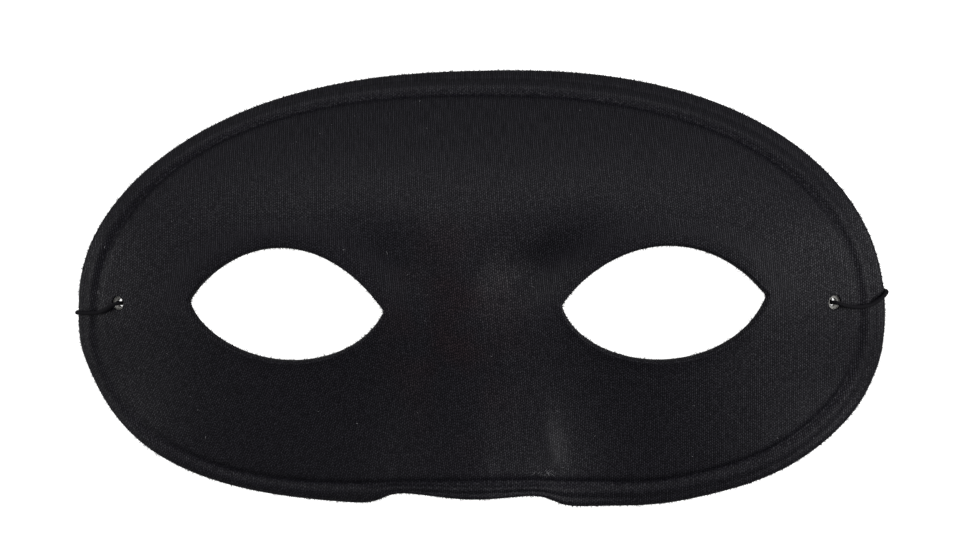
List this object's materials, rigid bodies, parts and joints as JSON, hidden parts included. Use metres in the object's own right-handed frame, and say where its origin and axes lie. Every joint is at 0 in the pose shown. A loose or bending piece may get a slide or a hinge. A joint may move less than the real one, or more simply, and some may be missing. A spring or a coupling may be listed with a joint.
{
  "type": "domino mask",
  "caption": "Press-moulded half mask covered in black knit, with almond eye openings, a nose bridge, a rolled rim and a slack round elastic.",
  "frame": {"origin": "on the surface that the mask lies on, under the middle of its outline", "axes": "+X to the right in a front view, +Y to the forehead, +Z out of the face"},
  "size_m": [0.1787, 0.0948, 0.0236],
  "materials": {
    "knit": "matt black tricot knit",
    "core_sheet": "pale stiff non-woven sheet",
    "elastic": "black braided round elastic"
  },
  "bodies": {
    "root": {"knit_cover": "knit", "moulded_core": "core_sheet", "elastic_cord": "elastic", "knot_right": "elastic", "knot_left": "elastic"}
  },
  "joints": []
}
